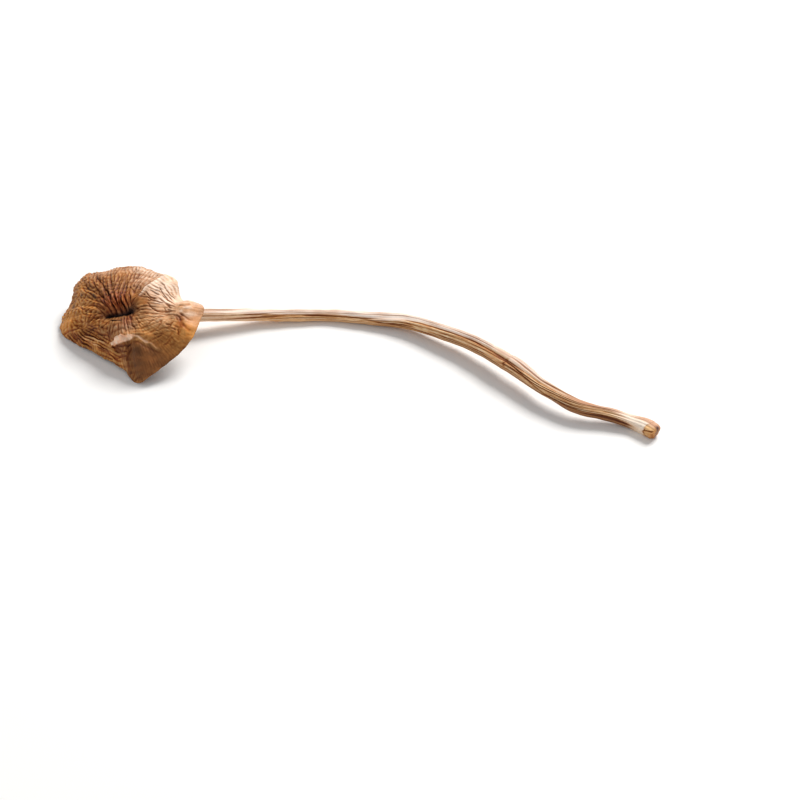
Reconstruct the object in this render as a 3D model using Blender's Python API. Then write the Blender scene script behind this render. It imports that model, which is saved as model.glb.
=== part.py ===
"""A dried tea tree mushroom, lying on a flat surface.

It is one mushroom, picked whole and dried: a domed cap with its gills grown on the underside, and a long,
thin, furrowed stem that bends sharply below the cap. Its two pieces are the nodes cap and stem.
+X runs along the mushroom from the cap to the root end, and +Z is up. The origin lies on the surface that
the mushroom rests on, below the middle of its bounding box. All the lengths below are in millimetres.
"""

import math

import bmesh
import bpy
from mathutils import Matrix, Vector, noise

MM = 0.001  # one millimetre, in Blender's metres

# The cap's rim lies near a plane that leans towards the front left, where it touches the surface.
CAP_CENTRE = Vector((-59.6, 11.15, 6.4))  # on the rim's plane, straight below the pit
CAP_LEAN_DEG = 27.7
CAP_LEANS_TOWARDS_DEG = -130.4  # seen from above, from +X
CAP_RISE = 6.6  # from the rim's plane to the top of the dome
DOME_POWER = 2.4  # higher is flatter on top and steeper at the rim
FLESH_MIDDLE = 3.0  # thickness of the flesh over the stem
FLESH_EDGE = 1.0  # and close to the rim
EDGE_POWER = 14  # higher is a sharper edge
# Where the forms of the cap begin and end, as shares of the way from the pit to the rim.
RIM_SHAPES_THE_CAP = (0.0, 0.75)
FLESH_THINS = (0.05, 0.85)
PIT_FADES_BELOW = (0.15, 0.45)
CREASES_BEGIN_BELOW = (0.2, 0.5)
GILLS_DEEPEN = (0.16, 0.32)
GILLS_TAPER = (0.75, 0.97)
PLEATS_FLATTEN = (0.7, 1.0)

# The rim: degrees round the pit from the cap's right, the radius there, and how far it stands off its plane.
RIM = (
    (5, 20.6, -0.7),
    (13, 15.6, 0.9),
    (26, 15.5, 0.6),
    (38, 16.3, 0.2),
    (60, 15.0, 0.5),
    (82, 16.1, -0.2),
    (101, 16.9, 0.4),
    (120, 19.0, -0.2),
    (133, 21.6, 0.4),
    (144, 22.2, -0.3),
    (152, 20.3, 0.4),
    (160, 20.4, -0.2),
    (171, 21.1, 0.3),
    (182, 20.6, 0.0),
    (194, 17.2, 0.2),
    (207, 14.5, 0.3),
    (222, 12.8, 0.4),
    (240, 12.5, 0.4),
    (256, 13.3, 0.3),
    (268, 14.9, 0.3),
    (277, 18.7, 0.0),
    (288, 19.2, 0.0),
    (304, 18.5, 0.5),
    (322, 18.8, -0.3),
    (338, 20.2, 0.4),
    (350, 20.3, -0.2),
)
ROUND_RADIUS = 17.0  # of the cap close to the pit, where the corners of the rim don't show

# The pit is a slit that the pleats run into.
PIT_ENDS = ((-3.9, -0.3), (2.3, 0.0))
PIT_DEPTH = 2.0
PIT_HALF_WIDTH = 2.3

# The main creases, as points on the cap's plane, with their height (below 0 for a valley) and half width.
CREASES = (
    (((2.6, 0.4), (5.5, 4.0), (6.8, 6.4), (9.1, 9.5), (10.0, 11.3)), 0.8, 1.0),  # ridge to the back right
    (((2.4, 2.6), (4.2, 5.4), (5.6, 8.0), (7.6, 11.0)), -0.5, 1.3),  # hollow behind that ridge
    (((15.6, 4.2), (14.2, 0.6), (12.4, -1.6)), -0.6, 1.2),  # pinch of the right lobe
    (((16.8, 2.2), (17.2, -1.0), (17.5, -5.5)), 0.5, 2.0),  # swell of the right lobe
    (((2.6, -9.0), (2.2, -11.7), (2.7, -14.7), (2.5, -17.6)), -0.8, 1.1),  # fold beside the front lobe
    (((4.5, -9.5), (6.5, -13.0), (7.0, -17.0)), 0.6, 2.2),  # swell of the front lobe
    (((-1.5, -7.6), (0.6, -6.9), (2.6, -7.3), (5.0, -6.8), (8.0, -7.9)), 0.4, 0.8),  # scar and its ridge
    (((-16.5, -1.5), (-12.6, -4.6), (-8.0, -7.4), (-2.8, -10.6)), 0.5, 0.9),  # fold along the front edge
    (((-14.5, 0.4), (-10.5, -2.8), (-6.2, -5.4), (-2.4, -7.9)), -0.5, 0.9),  # valley behind it
)
CREASES_BELOW = 0.6  # share of their height that shows on the underside
PLEATS_FROM_DEG, PLEATS_TO_DEG = 70, 200  # the fan of pleats behind the pit
PLEATS_FADE_DEG = 15
PLEATS_FADE_NEAR_PIT = (0.5, 3.0)  # distance from the pit where they begin and where they are full
PLEAT_COUNT = 30  # as many as would go right round
PLEAT_DEPTH = 0.4
PLEAT_WANDER, PLEAT_WANDER_SIZE = 3.0, 9.0  # how much the pleats stray, and over what length

GILL_COUNT = 48
GILL_DEPTH = 1.3
CAP_SEGMENTS = 2 * GILL_COUNT  # one step for each gill and one for each gap
CAP_RINGS = 28  # from the top of the cap to the middle of its underside
SKIN_EDGE = 0.001  # a point of the unit sphere lower than this is on the underside

# The stem: its middle line from the cap to the root end, as x, y, z and the radius there.
STEM_NECK = ((0.0, 2.1), (1.3, 1.75), (2.6, 1.6))  # depth below the flesh, and radius
STEM_GAP = 0.3  # between the stem's end and the flesh, which touch in the real mushroom
STEM_ROUTE = (
    (-56.4, 13.45, 4.3, 1.6),
    (-52.2, 14.35, 4.2, 1.6),
    (-47.1, 14.85, 4.5, 1.65),
    (-41.2, 15.25, 4.6, 1.7),
    (-30.8, 16.75, 3.4, 1.65),
    (-20.0, 17.95, 2.2, 1.6),
    (-8.9, 18.65, 1.6, 1.6),
    (-2.3, 18.25, 1.65, 1.65),
    (7.8, 16.45, 2.1, 1.75),
    (14.9, 14.55, 2.8, 1.85),
    (21.6, 11.15, 3.4, 1.95),
    (32.4, 4.25, 4.4, 2.05),
    (41.4, -3.75, 4.8, 2.1),
    (45.5, -7.85, 4.7, 2.05),
    (50.5, -12.95, 4.4, 1.75),
    (58.2, -18.35, 3.7, 1.65),
    (67.1, -20.55, 2.6, 1.55),
    (72.1, -22.15, 1.9, 1.6),
    (75.5, -23.85, 1.8, 1.9),
    (77.4, -25.45, 1.85, 2.0),
    (78.5, -26.45, 1.85, 1.6),
)
STEM_STEP = 2.2  # between the rings of the stem
STEM_FINE_STEP = 1.1  # the same, in the bend and at the root end
STEM_READINGS = 20  # of the smooth curve, between two of the points above
NECK_RINGS = 8  # the bend's share of the rings
ROOT_LENGTH = 5.0
STEM_SIDES = 24
STEM_TWIST_DEG = 150  # of the furrows, over the whole length
# The furrows round the stem: their count, phase, and height above and below its radius as a share of it.
FURROWS = ((2, 1.9, 0.04), (3, 0.9, 0.06), (5, 2.6, 0.05), (9, 0.4, 0.03))

CAP_COLOUR = (0.33, 0.19, 0.09, 1.0)
STEM_COLOUR = (0.56, 0.40, 0.26, 1.0)


def clear_scene():
    for thing in list(bpy.data.objects):
        bpy.data.objects.remove(thing)


def new_collection(name):
    collection = bpy.data.collections.new(name)
    bpy.context.scene.collection.children.link(collection)
    return collection


def finish(name, colour, roughness):
    """A plain material for one piece."""
    material = bpy.data.materials.new(name)
    material.use_nodes = True
    shader = material.node_tree.nodes["Principled BSDF"]
    shader.inputs["Base Color"].default_value = colour
    shader.inputs["Roughness"].default_value = roughness
    shader.inputs["Metallic"].default_value = 0.0
    return material


def smooth_step(value, low, high):
    """0 up to low, 1 from high on, and a smooth rise between them."""
    share = min(1.0, max(0.0, (value - low) / (high - low)))
    return share * share * (3 - 2 * share)


def catmull_rom(before, start, end, after, share):
    """A smooth value between start and end, with one value on each side of them."""
    return 0.5 * (
        2 * start
        + (end - before) * share
        + (2 * before - 5 * start + 4 * end - after) * share**2
        + (3 * start - before - 3 * end + after) * share**3
    )


def distance_to_line(point, corners):
    """From a point on the cap's plane to a line of straight stretches."""
    nearest = math.inf
    for start, end in zip(corners, corners[1:]):
        start, end = Vector(start), Vector(end)
        along = end - start
        share = (point - start).dot(along) / along.length_squared
        foot = start + along * min(1.0, max(0.0, share))
        nearest = min(nearest, (point - foot).length)
    return nearest


def rim_at(angle_deg):
    """The rim's radius and its height off its plane, at an angle round the pit."""
    count = len(RIM)
    angle = (angle_deg - RIM[0][0]) % 360 + RIM[0][0]
    first = max(i for i in range(count) if RIM[i][0] <= angle)
    start, end = RIM[first], RIM[(first + 1) % count]
    before, after = RIM[first - 1], RIM[(first + 2) % count]
    share = (angle - start[0]) / ((end[0] - start[0]) % 360)
    return [catmull_rom(before[k], start[k], end[k], after[k], share) for k in (1, 2)]


def relief(x, y, reach):
    """How far the pit, the creases and the pleats raise the skin at a point of the cap."""
    point = Vector((x, y))
    pit = distance_to_line(point, PIT_ENDS)
    height = -PIT_DEPTH * math.exp(-((pit / PIT_HALF_WIDTH) ** 2))
    for corners, crease_height, half_width in CREASES:
        height += crease_height * math.exp(-((distance_to_line(point, corners) / half_width) ** 2))
    angle = math.degrees(math.atan2(y, x)) % 360
    fan = smooth_step(angle, PLEATS_FROM_DEG - PLEATS_FADE_DEG, PLEATS_FROM_DEG + PLEATS_FADE_DEG)
    fan *= 1 - smooth_step(angle, PLEATS_TO_DEG - PLEATS_FADE_DEG, PLEATS_TO_DEG + PLEATS_FADE_DEG)
    fan *= smooth_step(pit, *PLEATS_FADE_NEAR_PIT) * (1 - 0.5 * smooth_step(reach, *PLEATS_FLATTEN))
    wander = PLEAT_WANDER * noise.noise(Vector((x, y, 0)) / PLEAT_WANDER_SIZE)
    return height + 0.5 * PLEAT_DEPTH * fan * math.cos(math.radians(PLEAT_COUNT * angle) + wander)


def cap_surface(reach, angle_deg, below=False, gill=False):
    """A point of the cap, in its own frame, on top or below: reach is 0 over the stem and 1 at the rim."""
    radius, lift = rim_at(angle_deg)
    radius = ROUND_RADIUS + (radius - ROUND_RADIUS) * smooth_step(reach, *RIM_SHAPES_THE_CAP)
    x = reach * radius * math.cos(math.radians(angle_deg))
    y = reach * radius * math.sin(math.radians(angle_deg))
    dome = CAP_RISE * (1 - reach**DOME_POWER) + lift * reach**3
    bumps = relief(x, y, reach)
    if not below:
        return Vector((x, y, dome + bumps))
    flesh = FLESH_MIDDLE + (FLESH_EDGE - FLESH_MIDDLE) * smooth_step(reach, *FLESH_THINS)
    flesh *= math.sqrt(max(0.0, 1 - reach**EDGE_POWER))
    # The underside is flat over the stem, and takes the big creases further out.
    bumps *= CREASES_BELOW * smooth_step(reach, *CREASES_BEGIN_BELOW)
    pit = PIT_DEPTH * (1 - smooth_step(reach, *PIT_FADES_BELOW))
    depth = GILL_DEPTH * smooth_step(reach, *GILLS_DEEPEN) * (1 - smooth_step(reach, *GILLS_TAPER))
    return Vector((x, y, dome - flesh + bumps - pit - (depth if gill else 0.0)))


def cap_frame():
    """The cap's own frame: its X to the right in the rim's plane, its Z out of the top of the dome."""
    lean = math.radians(CAP_LEAN_DEG)
    towards = math.radians(CAP_LEANS_TOWARDS_DEG)
    up = Vector((math.sin(lean) * math.cos(towards), math.sin(lean) * math.sin(towards), math.cos(lean)))
    right = (Vector((1, 0, 0)) - up.x * up).normalized()
    return Matrix.Translation(CAP_CENTRE) @ Matrix((right, up.cross(right), up)).transposed().to_4x4()


def make_cap(collection):
    """A sphere whose upper half becomes the skin and whose lower half becomes the flesh with the gills."""
    shape = bmesh.new()
    bmesh.ops.create_uvsphere(shape, u_segments=CAP_SEGMENTS, v_segments=CAP_RINGS, radius=1.0)
    frame = cap_frame()
    for vertex in shape.verts:
        turn = math.degrees(math.atan2(vertex.co.y, vertex.co.x))
        from_top = math.degrees(math.acos(max(-1.0, min(1.0, vertex.co.z))))
        reach = min(from_top, 180 - from_top) / 90
        gill = round(turn / 360 * CAP_SEGMENTS) % 2 == 0
        point = frame @ cap_surface(reach, turn, vertex.co.z < -SKIN_EDGE, gill)
        vertex.co = (point.x, point.y, max(0.0, point.z))  # pressed flat where it lies on the surface
    bmesh.ops.scale(shape, vec=(MM, MM, MM), verts=shape.verts)
    mesh = bpy.data.meshes.new("cap")
    shape.to_mesh(mesh)
    shape.free()
    mesh.materials.append(finish("cap_skin", CAP_COLOUR, 0.75))
    mesh.shade_smooth()
    collection.objects.link(bpy.data.objects.new("cap", mesh))


def stem_points():
    """The stem's middle line and radius, read at even steps from one smooth curve."""
    frame = cap_frame()
    flesh = CAP_RISE - PIT_DEPTH - FLESH_MIDDLE  # height of the flesh over the rim's plane
    neck = [(*(frame @ Vector((0, 0, flesh - STEM_GAP - depth))), radius) for depth, radius in STEM_NECK]
    knots = [Vector(knot) for knot in (*neck, *STEM_ROUTE)]
    end = knots[-1]
    knots = [2 * knots[0] - knots[1], *knots, 2 * end - knots[-2]]
    shares = [step / STEM_READINGS for step in range(STEM_READINGS)]
    fine = [catmull_rom(*knots[i : i + 4], share) for i in range(len(knots) - 3) for share in shares]
    points, walked = [fine[0]], 0.0
    for start, here in zip(fine, fine[1:]):
        walked += (here.xyz - start.xyz).length
        close_up = len(points) < NECK_RINGS or (here.xyz - end.xyz).length < ROOT_LENGTH
        if walked >= (STEM_FINE_STEP if close_up else STEM_STEP):
            points.append(here)
            walked = 0.0
    return [*points, end]


def furrowed_outline(collection):
    """The stem's cross section, with ridges and furrows, as a closed curve of radius 1."""
    curve = bpy.data.curves.new("stem_section", "CURVE")
    spline = curve.splines.new("POLY")
    spline.points.add(STEM_SIDES - 1)
    for i, point in enumerate(spline.points):
        turn = math.tau * i / STEM_SIDES
        radius = 1 + sum(share * math.cos(count * turn + phase) for count, phase, share in FURROWS)
        point.co = (radius * math.cos(turn), radius * math.sin(turn), 0, 1)
    spline.use_cyclic_u = True
    outline = bpy.data.objects.new("stem_section", curve)
    outline.hide_render = True
    outline.display_type = "WIRE"
    collection.objects.link(outline)
    return outline


def make_stem(collection, helpers):
    """The furrowed section, swept along the middle line and pressed flat where it lies on the surface."""
    points = stem_points()
    curve = bpy.data.curves.new("stem", "CURVE")
    curve.dimensions = "3D"
    curve.bevel_mode = "OBJECT"
    curve.bevel_object = furrowed_outline(helpers)
    curve.use_fill_caps = True
    spline = curve.splines.new("POLY")
    spline.points.add(len(points) - 1)
    for i, (point, place) in enumerate(zip(spline.points, points)):
        point.co = (*(place.xyz * MM), 1)
        point.radius = place.w * MM
        point.tilt = math.radians(STEM_TWIST_DEG) * i / len(points)
    swept = bpy.data.objects.new("stem_sweep", curve)
    helpers.objects.link(swept)
    swept_mesh = swept.evaluated_get(bpy.context.evaluated_depsgraph_get())
    stem = bpy.data.objects.new("stem", bpy.data.meshes.new_from_object(swept_mesh))
    stem.matrix_world = swept.matrix_world
    bpy.data.objects.remove(swept)
    shape = bmesh.new()
    shape.from_mesh(stem.data)
    bmesh.ops.remove_doubles(shape, verts=shape.verts, dist=1e-6)
    for vertex in shape.verts:
        vertex.co.z = max(0.0, vertex.co.z)
    bmesh.ops.recalc_face_normals(shape, faces=shape.faces)
    shape.to_mesh(stem.data)
    shape.free()
    stem.data.materials.append(finish("stem_skin", STEM_COLOUR, 0.7))
    stem.data.shade_smooth()
    collection.objects.link(stem)


clear_scene()
mushroom = new_collection("dried_tea_tree_mushroom")
sections = new_collection("sections")
make_cap(mushroom)
make_stem(mushroom, sections)
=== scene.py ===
# %% [markdown]
# A dried tea tree mushroom lies on a flat surface. Its cap has turned to leather and its stem to something
# like a twig. This lesson dresses the two solids of the CAD model, cap and stem, with a wrinkled skin, thin
# gills and a furrowed stalk. The first cell loads the solids.

import math

import bpy
import numpy as np
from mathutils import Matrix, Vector, noise


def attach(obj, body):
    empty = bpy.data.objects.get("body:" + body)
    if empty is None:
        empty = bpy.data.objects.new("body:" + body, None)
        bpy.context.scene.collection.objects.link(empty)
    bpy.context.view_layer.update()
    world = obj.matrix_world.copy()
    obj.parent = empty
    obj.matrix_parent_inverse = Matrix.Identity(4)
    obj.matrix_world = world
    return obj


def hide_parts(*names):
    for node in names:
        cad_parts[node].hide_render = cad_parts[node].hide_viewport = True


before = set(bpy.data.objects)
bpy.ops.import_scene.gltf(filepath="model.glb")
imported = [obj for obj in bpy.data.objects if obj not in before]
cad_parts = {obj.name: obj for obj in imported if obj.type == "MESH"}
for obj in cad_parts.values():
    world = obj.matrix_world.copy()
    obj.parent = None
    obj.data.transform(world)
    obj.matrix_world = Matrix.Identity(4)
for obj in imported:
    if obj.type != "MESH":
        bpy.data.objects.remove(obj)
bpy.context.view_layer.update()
bpy.ops.object.select_all(action="DESELECT")
MM = 0.001  # one millimetre, in Blender's metres

# %% [markdown]
# The camera looks down at 45 degrees from half a metre away. Its long lens keeps the far end of the stem
# from shrinking, as on a product photograph. The mushroom isn't in the middle of the picture, so the camera
# aims at a point beside it.

# %% camera
AIM = Vector((12.7, -12.65, 0)) * MM
bpy.ops.object.camera_add(location=Vector((12.7, -362.65, 350)) * MM)
camera = bpy.context.object
camera.name = "camera"
camera.data.lens = 85
camera.rotation_euler = (AIM - camera.location).to_track_quat("-Z", "Y").to_euler()
bpy.context.scene.camera = camera
print("camera is", round((AIM - camera.location).length / MM), "mm from its aim")

# %% [markdown]
# The light is soft daylight. One big lamp stands behind the mushroom to the right, like a window, so the
# ridges of the stem shine along their tops and the pleats of the cap shade each other. A dim world fills
# the shadows. Where the camera sees that world, past the pale floor, it is white.

# %% light and floor
bpy.ops.object.light_add(type="AREA", location=Vector((480, 700, 860)) * MM)
lamp = bpy.context.object
lamp.name = "window"
lamp.data.size = 500 * MM
lamp.data.energy = 17
lamp.data.color = (1, 0.98, 0.95)
lamp.rotation_euler = (-lamp.location).to_track_quat("-Z", "Y").to_euler()

world = bpy.data.worlds.new("daylight")
world.use_nodes = True
sky = world.node_tree
dim = sky.nodes["Background"]
dim.inputs["Strength"].default_value = 0.48
white = sky.nodes.new("ShaderNodeBackground")
for light in (dim, white):
    light.inputs["Color"].default_value = (1, 1, 1, 1)
choice = sky.nodes.new("ShaderNodeMixShader")
seen = sky.nodes.new("ShaderNodeLightPath").outputs["Is Camera Ray"]
for number, output in enumerate((seen, dim.outputs[0], white.outputs[0])):
    sky.links.new(output, choice.inputs[number])
sky.links.new(choice.outputs[0], sky.nodes["World Output"].inputs["Surface"])
bpy.context.scene.world = world
bpy.context.scene.view_settings.view_transform = "Standard"

bpy.ops.mesh.primitive_plane_add(size=3)
floor = bpy.context.object
floor.name = "floor"
paper = bpy.data.materials.new("pale_paper")
paper.use_nodes = True
sockets = paper.node_tree.nodes["Principled BSDF"].inputs
sockets["Base Color"].default_value = (0.92, 0.92, 0.92, 1)
sockets["Roughness"].default_value = 0.9
floor.data.materials.append(paper)

# %% [markdown]
# Every shape below is a primitive whose points are moved by a formula, because no hand could push a hundred
# thousand points into wrinkles. These helpers work on whole arrays of points. The same place always gets
# the same noise, so the mushroom never changes from run to run.

# %% helpers for arrays
SEED_STEP = 31.7  # how far apart the noises of two seeds are read


def ramp(value, low, high):
    """0 up to low, 1 from high on, and a smooth rise between them."""
    share = np.clip((value - low) / (high - low), 0, 1)
    return share * share * (3 - 2 * share)


def catmull_rom(before, start, end, after, share):
    """A smooth value between start and end, given the values before and after them."""
    return 0.5 * (
        2 * start
        + (end - before) * share
        + (2 * before - 5 * start + 4 * end - after) * share**2
        + (3 * start - before - 3 * end + after) * share**3
    )


def noise_at(x, y, size, seed=0, z=0):
    """Blender's smooth noise, about -1 to 1, at each point, with bumps of the given size."""
    rows = np.stack(np.broadcast_arrays(x, y, z), axis=-1).reshape(-1, 3) / size + (0, 0, seed * SEED_STEP)
    found = np.array([noise.noise(row) for row in rows.tolist()])
    return found.reshape(np.broadcast(x, y, z).shape)


def place_on_line(x, y, corners):
    """How far each point lies from a line of straight stretches, and its place along that line, 0 to 1."""
    nearest, place = np.full(np.shape(x), np.inf), np.zeros(np.shape(x))
    for number, ((x0, y0), (x1, y1)) in enumerate(zip(corners, corners[1:])):
        dx, dy = x1 - x0, y1 - y0
        share = np.clip(((x - x0) * dx + (y - y0) * dy) / (dx * dx + dy * dy), 0, 1)
        away = np.hypot(x - x0 - share * dx, y - y0 - share * dy)
        place = np.where(away < nearest, (number + share) / (len(corners) - 1), place)
        nearest = np.minimum(nearest, away)
    return nearest, place


def bell(value):
    """1 at zero, and a smooth fall to 0 on both sides."""
    return np.exp(-(value**2))


def streak(x, y, corners, half_width):
    """1 on a line and fading to 0 beside it."""
    return bell(place_on_line(x, y, corners)[0] / half_width)


def patch(x, y, middle, size, turn_deg=0):
    """1 in the middle of an oval patch and fading to 0 outside it."""
    turn = math.radians(turn_deg)
    across = (x - middle[0]) * math.cos(turn) + (y - middle[1]) * math.sin(turn)
    up = (y - middle[1]) * math.cos(turn) - (x - middle[0]) * math.sin(turn)
    return np.exp(-((across / size[0]) ** 2) - (up / size[1]) ** 2)


def highest(*values):
    """The highest of several values at each point."""
    return np.maximum.reduce(np.broadcast_arrays(*values))


def between(angle, low, high, fade):
    """1 where an angle in degrees lies between two others, however often it goes round."""
    middle, half = (low + high) / 2, (high - low) / 2
    off = np.abs((angle - middle + 180) % 360 - 180)
    return 1 - ramp(off, half - fade, half + fade)


print("ramp at a half:", ramp(np.array([0.5]), 0, 1)[0])

# %% [markdown]
# The cap's main forms have the same numbers as the CAD solid. The rim is a list of angles round the pit,
# with the radius there and how far the rim stands off its plane. A dome rises over it, with creases, the
# pit and a fan of pleats. All of it is worked out in the cap's own frame, whose Z points out of the dome.

# %% the cap's main forms
CAP_CENTRE = Vector((-59.6, 11.15, 6.4))  # on the rim's plane, straight below the pit
CAP_LEAN_DEG, CAP_LEANS_TO_DEG = 27.7, -130.4  # how far, and to which side, counted from +X
CAP_RISE = 6.6
DOME_POWER = 2.4
FLESH_MIDDLE, FLESH_EDGE = 3, 1  # its thickness
EDGE_POWER = 14
RIM = np.array([
    (5, 20.6, -0.7), (13, 15.6, 0.9), (26, 15.5, 0.6), (38, 16.3, 0.2), (60, 15, 0.5), (82, 16.1, -0.2),
    (101, 16.9, 0.4), (120, 19, -0.2), (133, 21.6, 0.4), (144, 22.2, -0.3), (152, 20.3, 0.4),
    (160, 20.4, -0.2), (171, 21.1, 0.3), (182, 20.6, 0), (194, 17.2, 0.2), (207, 14.5, 0.3),
    (222, 12.8, 0.4), (240, 12.5, 0.4), (256, 13.3, 0.3), (268, 14.9, 0.3), (277, 18.7, 0),
    (288, 19.2, 0), (304, 18.5, 0.5), (322, 18.8, -0.3), (338, 20.2, 0.4), (350, 20.3, -0.2),
])
ROUND_RADIUS = 17
PIT_ENDS = ((-3.9, -0.3), (2.3, 0))
PIT_DEPTH, PIT_HALF_WIDTH = 2, 2.3
BACK_RIDGE = ((2.6, 0.4), (5.5, 4), (6.8, 6.4), (9.1, 9.5), (10, 11.3))
SCAR_RIDGE = ((-1.5, -7.6), (0.6, -6.9), (2.6, -7.3), (5, -6.8), (8, -7.9))
CREASES = (
    (BACK_RIDGE, 0.8, 1),
    (((2.4, 2.6), (4.2, 5.4), (5.6, 8), (7.6, 11)), -0.5, 1.3),
    (((15.6, 4.2), (14.2, 0.6), (12.4, -1.6)), -0.6, 1.2),
    (((16.8, 2.2), (17.2, -1), (17.5, -5.5)), 0.5, 2),
    (((2.6, -9), (2.2, -11.7), (2.7, -14.7), (2.5, -17.6)), -0.8, 1.1),
    (((4.5, -9.5), (6.5, -13), (7, -17)), 0.6, 2.2),
    (SCAR_RIDGE, 0.4, 0.8),
    (((-16.5, -1.5), (-12.6, -4.6), (-8, -7.4), (-2.8, -10.6)), 0.5, 0.9),
    (((-14.5, 0.4), (-10.5, -2.8), (-6.2, -5.4), (-2.4, -7.9)), -0.5, 0.9),
)
CREASES_BELOW = 0.6
PLEATS_DEG = (70, 200, 15)  # from, to and fade
PLEAT_COUNT, PLEAT_DEPTH = 30, 0.4
PLEAT_WANDER, PLEAT_WANDER_SIZE = 3, 9


def rim_at(angle_deg):
    """The rim's radius and its height off its plane, at each angle round the pit."""
    angle = (angle_deg - RIM[0, 0]) % 360 + RIM[0, 0]
    first = np.searchsorted(RIM[:, 0], angle, side="right") - 1
    knots = [RIM[(first + step) % len(RIM)] for step in (-1, 0, 1, 2)]
    share = (angle - knots[1][:, 0]) / ((knots[2][:, 0] - knots[1][:, 0]) % 360)
    return [catmull_rom(*(knot[:, k] for knot in knots), share) for k in (1, 2)]


def main_relief(x, y, reach):
    """How far the pit, the creases and the widest pleats raise the skin."""
    pit = place_on_line(x, y, PIT_ENDS)[0]
    height = -PIT_DEPTH * bell(pit / PIT_HALF_WIDTH)
    for corners, crease_height, half_width in CREASES:
        height += crease_height * streak(x, y, corners, half_width)
    angle = np.degrees(np.arctan2(y, x)) % 360
    fan = between(angle, *PLEATS_DEG)
    fan *= ramp(pit, 0.5, 3) * (1 - 0.5 * ramp(reach, 0.7, 1))
    wander = PLEAT_WANDER * noise_at(x, y, PLEAT_WANDER_SIZE)
    return height + 0.5 * PLEAT_DEPTH * fan * np.cos(np.radians(PLEAT_COUNT * angle) + wander)


lean, towards = math.radians(CAP_LEAN_DEG), math.radians(CAP_LEANS_TO_DEG)
cap_up = Vector((math.sin(lean) * math.cos(towards), math.sin(lean) * math.sin(towards), math.cos(lean)))
cap_right = (Vector((1, 0, 0)) - cap_up.x * cap_up).normalized()
cap_back = cap_up.cross(cap_right)
cap_axes = np.array([cap_right, cap_back, cap_up])
print("the rim's mean radius is", round(float(rim_at(np.arange(0, 360))[0].mean()), 1), "mm")

# %% [markdown]
# The skin of a dried cap is full of wrinkles that run side by side, join and split. Plain noise gives
# blobs, and a cosine gives combs, so the wrinkles are laid like iron filings. Short waves are strewn over
# the cap, each turned the way that the wrinkles run there, and their phases are nudged until neighbours
# agree. Where they can't agree, a wrinkle splits in two, as on real skin.

# %% a field of wrinkles
FIELD_HALF, FIELD_STEP = 25, 0.1  # the square that is covered, and the steps in it
SPOT_STEP = 0.8  # between the short waves
NEIGHBOURS, NEAR = 3, 4  # how many spots away, and how near, waves still nudge each other
TAIL = 2.5  # a wave is left out further away than this many of its sizes


def wandering(value, x, y, bumps):
    """A value with noise added to it, for which each bump gives the amount, size and seed."""
    for amount, size, seed in bumps:
        value = value + amount * noise_at(x, y, size, seed)
    return value


def wrinkle_field(directions, turns, wavelength, swells, rounds, seed, spread=1.1):
    """The summed waves at each step of the square, as complex numbers whose angle is the wave's phase."""
    chance = np.random.default_rng(seed)
    ticks = np.arange(-FIELD_HALF, FIELD_HALF, SPOT_STEP)
    x, y = np.meshgrid(ticks, ticks)
    x, y = (v + chance.uniform(-0.5, 0.5, v.shape) * SPOT_STEP for v in (x, y))
    length = wandering(wavelength, x, y, swells) * np.ones(x.shape)
    wave = 2 * np.pi / length * np.exp(1j * (wandering(directions(x, y), x, y, turns) + np.pi / 2))
    size = spread * length
    phase = chance.uniform(0, 2 * np.pi, x.shape)
    for _ in range(rounds):
        total = np.zeros(x.shape, complex)
        for down in range(-NEIGHBOURS, NEIGHBOURS + 1):
            for over in range(-NEIGHBOURS, NEIGHBOURS + 1):
                px, py, w, s, p = (np.roll(a, (down, over), (0, 1)) for a in (x, y, wave, size, phase))
                dx, dy = x - px, y - py
                weight = np.exp(-(dx**2 + dy**2) / (2 * s**2)) * (dx**2 + dy**2 < NEAR**2)
                total += weight * np.exp(1j * (w.real * dx + w.imag * dy + p))
        phase = np.angle(total)
    steps = np.arange(0, 2 * FIELD_HALF + FIELD_STEP / 2, FIELD_STEP) - FIELD_HALF
    field = np.zeros((len(steps), len(steps)), complex)
    for sx, sy, w, s, p in zip(x.ravel(), y.ravel(), wave.ravel(), size.ravel(), phase.ravel()):
        (i0, i1), (j0, j1) = (np.searchsorted(steps, (v - TAIL * s, v + TAIL * s)) for v in (sx, sy))
        dx, dy = steps[i0:i1] - sx, steps[j0:j1] - sy
        field[j0:j1, i0:i1] += np.outer(
            np.exp(-((dy / s) ** 2) / 2 + 1j * w.imag * dy),
            np.exp(-((dx / s) ** 2) / 2 + 1j * (w.real * dx + p)) * (SPOT_STEP / s) ** 2 / (2 * np.pi),
        )
    return field


def wrinkles(field, x, y):
    """How deep between round wrinkles each point lies, 0 to 1, and how near to the line between them."""
    across, up = (np.clip((v + FIELD_HALF) / FIELD_STEP, 0, len(field) - 1.001) for v in (x, y))
    i, j = across.astype(int), up.astype(int)
    u, v = across - i, up - j
    here = (field[j, i] * (1 - u) + field[j, i + 1] * u) * (1 - v)
    here = here + (field[j + 1, i] * (1 - u) + field[j + 1, i + 1] * u) * v
    strength = ramp(np.abs(here), 0.03, 0.35)
    raised = np.abs(np.cos(np.angle(here) / 2))
    return strength * (1 - raised), strength * (1 - raised**0.35)


def out_of_pit(x, y):
    """The way from the pit's slit to each point, as an angle."""
    (x0, y0), (x1, y1) = PIT_ENDS
    share = 0.5 + (place_on_line(x, y, PIT_ENDS)[1] - 0.5) * 0.8
    return np.arctan2(y - y0 - share * (y1 - y0), x - x0 - share * (x1 - x0))


print("short waves in one field:", round(2 * FIELD_HALF / SPOT_STEP) ** 2)

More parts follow.
